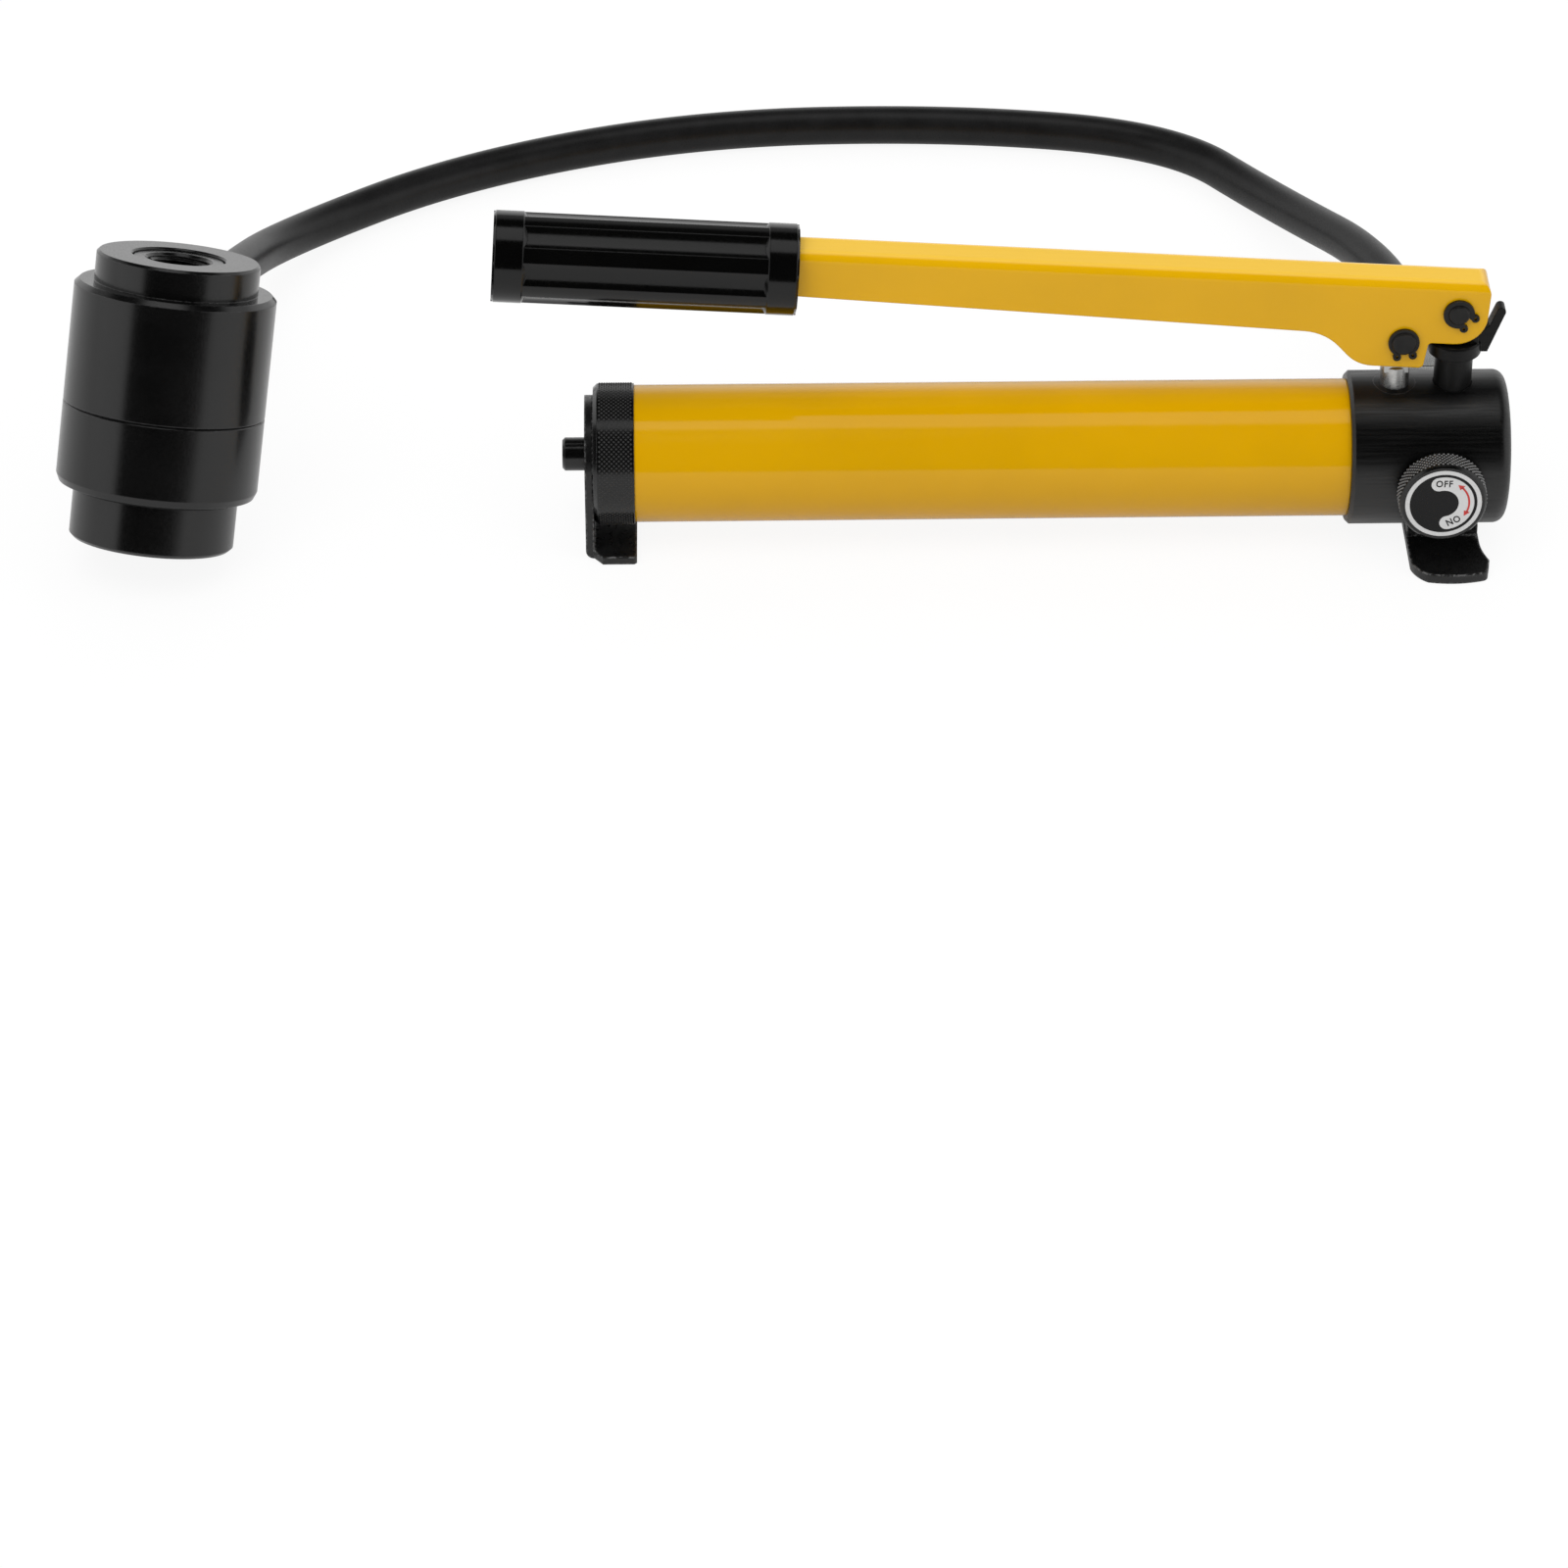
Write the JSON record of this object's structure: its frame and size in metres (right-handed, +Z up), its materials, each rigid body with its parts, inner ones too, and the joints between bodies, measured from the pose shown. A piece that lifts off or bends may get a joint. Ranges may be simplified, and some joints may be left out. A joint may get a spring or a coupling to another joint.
{
  "type": "hydraulic knockout punch driver with hand pump",
  "caption": "Small hydraulic hand pump with a lever, joined by a high-pressure hose to a cylindrical pull ram that draws a threaded stud to punch sheet metal.",
  "frame": {"origin": "on the floor under the pump head, where the cross axis of the release knob and hose port crosses the pump axis in plan", "axes": "+X along the pump from its end cap to its head, +Y from the release knob to the hose port, +Z up"},
  "size_m": [0.4415, 0.2909, 0.1102],
  "materials": {
    "yellow_paint": "high-gloss enamel",
    "black_steel": "satin black oxide",
    "bright_steel": "ground",
    "spring_steel": "drawn wire",
    "dark_steel": "phosphated",
    "zinc_plate": "zinc plated",
    "hose_rubber": "satin",
    "seal_rubber": "matte",
    "grip_plastic": "glossy",
    "dial_face": "printed"
  },
  "bodies": {
    "pump_and_ram": {"reservoir_tube": "yellow_paint", "head_block": "black_steel", "end_cap": "black_steel", "rear_foot": "black_steel", "rear_screw": "black_steel", "front_foot": "black_steel", "foot_screws": "black_steel", "fulcrum_post": "black_steel", "plunger_gland": "black_steel", "ram_cylinder": "black_steel", "ram_end_ring": "black_steel", "ram_rear_cap": "black_steel", "inlet_ball": "bright_steel", "outlet_ball": "bright_steel", "relief_ball": "bright_steel", "inlet_seat": "bright_steel", "outlet_plug": "bright_steel", "relief_screw": "bright_steel", "inlet_spring": "spring_steel", "outlet_spring": "spring_steel", "relief_spring": "spring_steel", "return_spring": "spring_steel", "bladder_band": "dark_steel", "pump_adapter": "zinc_plate", "pump_hose_nut": "zinc_plate", "pump_ferrule": "zinc_plate", "ram_adapter": "zinc_plate", "ram_ferrule": "zinc_plate", "port_washer": "zinc_plate", "hose": "hose_rubber", "oil_bladder": "seal_rubber", "head_oring": "seal_rubber", "cap_oring": "seal_rubber", "plunger_seal": "seal_rubber", "rod_seal": "seal_rubber"},
    "handle": {"lever": "yellow_paint", "grip": "grip_plastic", "fulcrum_pin": "dark_steel", "plunger_pin": "dark_steel", "fulcrum_circlips": "dark_steel", "plunger_circlips": "dark_steel"},
    "plunger_rod": {"plunger": "bright_steel"},
    "release_valve": {"release_knob": "black_steel", "knob_dial": "dial_face", "valve_stem": "bright_steel", "stem_oring": "seal_rubber"},
    "pull_rod_assembly": {"pull_rod": "black_steel", "piston_seal": "seal_rubber"}
  },
  "joints": [
    {"name": "handle_pivot", "type": "hinge", "parent": "pump_and_ram", "child": "handle", "pos_m": [0.0044, 0, 0.0772], "axis": [0, 1, 0], "range_deg": [0, 30]},
    {"name": "plunger_slide", "type": "slide", "parent": "pump_and_ram", "child": "plunger_rod", "axis": [0, 0, 1], "range_m": [0, 0.0094]},
    {"name": "release_turn", "type": "hinge", "parent": "pump_and_ram", "child": "release_valve", "pos_m": [0, -0.028, 0.0265], "axis": [0, -1, 0], "range_deg": [0, 100]},
    {"name": "ram_pull", "type": "slide", "parent": "pump_and_ram", "child": "pull_rod_assembly", "axis": [-0.1271, -0.3506, -0.9279], "range_m": [0, 0.022], "stiffness_N_per_m": 3000, "springref_m": -0.006, "deforming": ["return_spring"]}
  ],
  "couplings": [
    {"joint": "plunger_slide", "follows": "handle_pivot", "m_per_rad": 0.0179}
  ]
}
